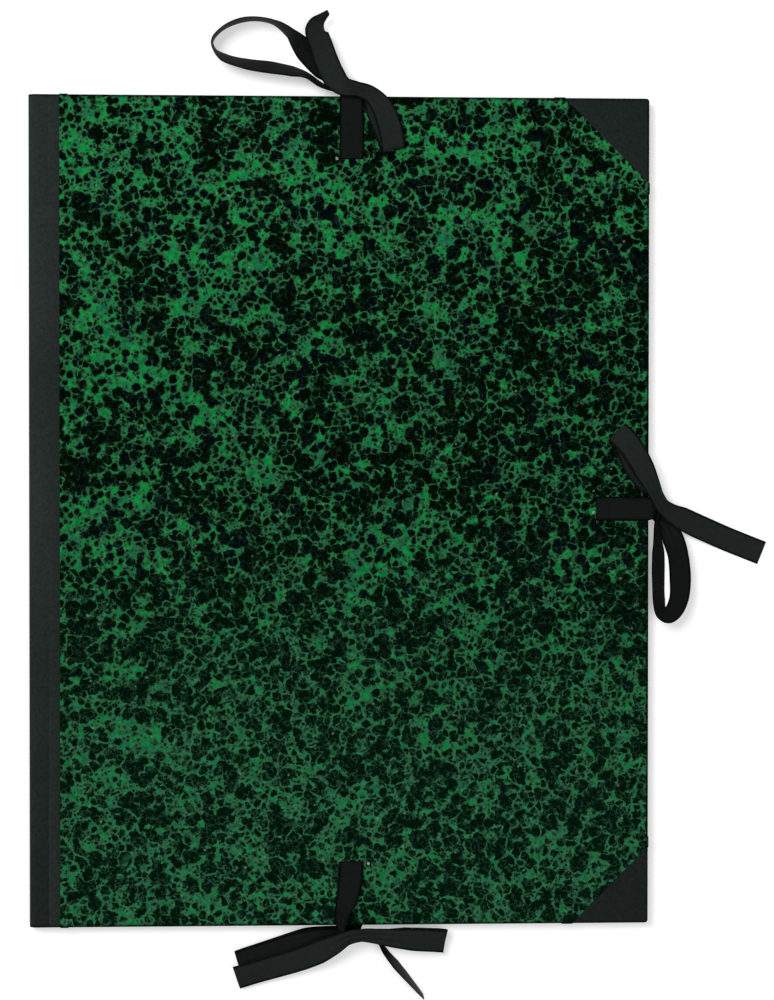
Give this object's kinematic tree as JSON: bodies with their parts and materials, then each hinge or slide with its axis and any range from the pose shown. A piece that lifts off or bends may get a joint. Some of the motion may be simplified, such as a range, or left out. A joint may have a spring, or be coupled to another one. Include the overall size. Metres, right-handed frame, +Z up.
{
  "type": "portfolio folder",
  "caption": "Flat portfolio folder with stiff marbled covers, a cloth spine, cloth corners and ribbon ties.",
  "frame": {"origin": "under the middle of the closed covers, on the surface the folder lies on, without the ribbons", "axes": "+X from the spine to the fore edge, +Y to the head, +Z up through the front cover"},
  "size_m": [0.3049, 0.4055, 0.0113],
  "materials": {
    "greyboard": "matte grey bookbinding board",
    "marbled_paper": "smooth, lightly glazed marbled paper, black spots on green veins",
    "book_cloth": "fine plain-weave book cloth, near black",
    "lining_paper": "matte pale laid paper",
    "ribbon": "ribbed grosgrain ribbon, near black"
  },
  "bodies": {
    "back_cover": {"back_board": "greyboard", "back_cover_paper": "marbled_paper", "back_head_corner": "book_cloth", "back_tail_corner": "book_cloth", "back_lining": "lining_paper", "spine_cloth": "book_cloth", "inner_hinge_cloth": "book_cloth", "back_head_ribbon": "ribbon", "back_fore_ribbon": "ribbon", "back_tail_ribbon": "ribbon"},
    "front_cover": {"front_board": "greyboard", "front_cover_paper": "marbled_paper", "front_head_corner": "book_cloth", "front_tail_corner": "book_cloth", "front_lining": "lining_paper", "front_head_ribbon": "ribbon", "front_fore_ribbon": "ribbon", "front_tail_ribbon": "ribbon"}
  },
  "joints": [
    {"name": "cover_hinge", "type": "hinge", "parent": "back_cover", "child": "front_cover", "pos_m": [-0.127, 0, 0.00325], "axis": [0, -1, 0], "range_deg": [0, 180], "deforming": ["spine_cloth", "inner_hinge_cloth"]}
  ]
}
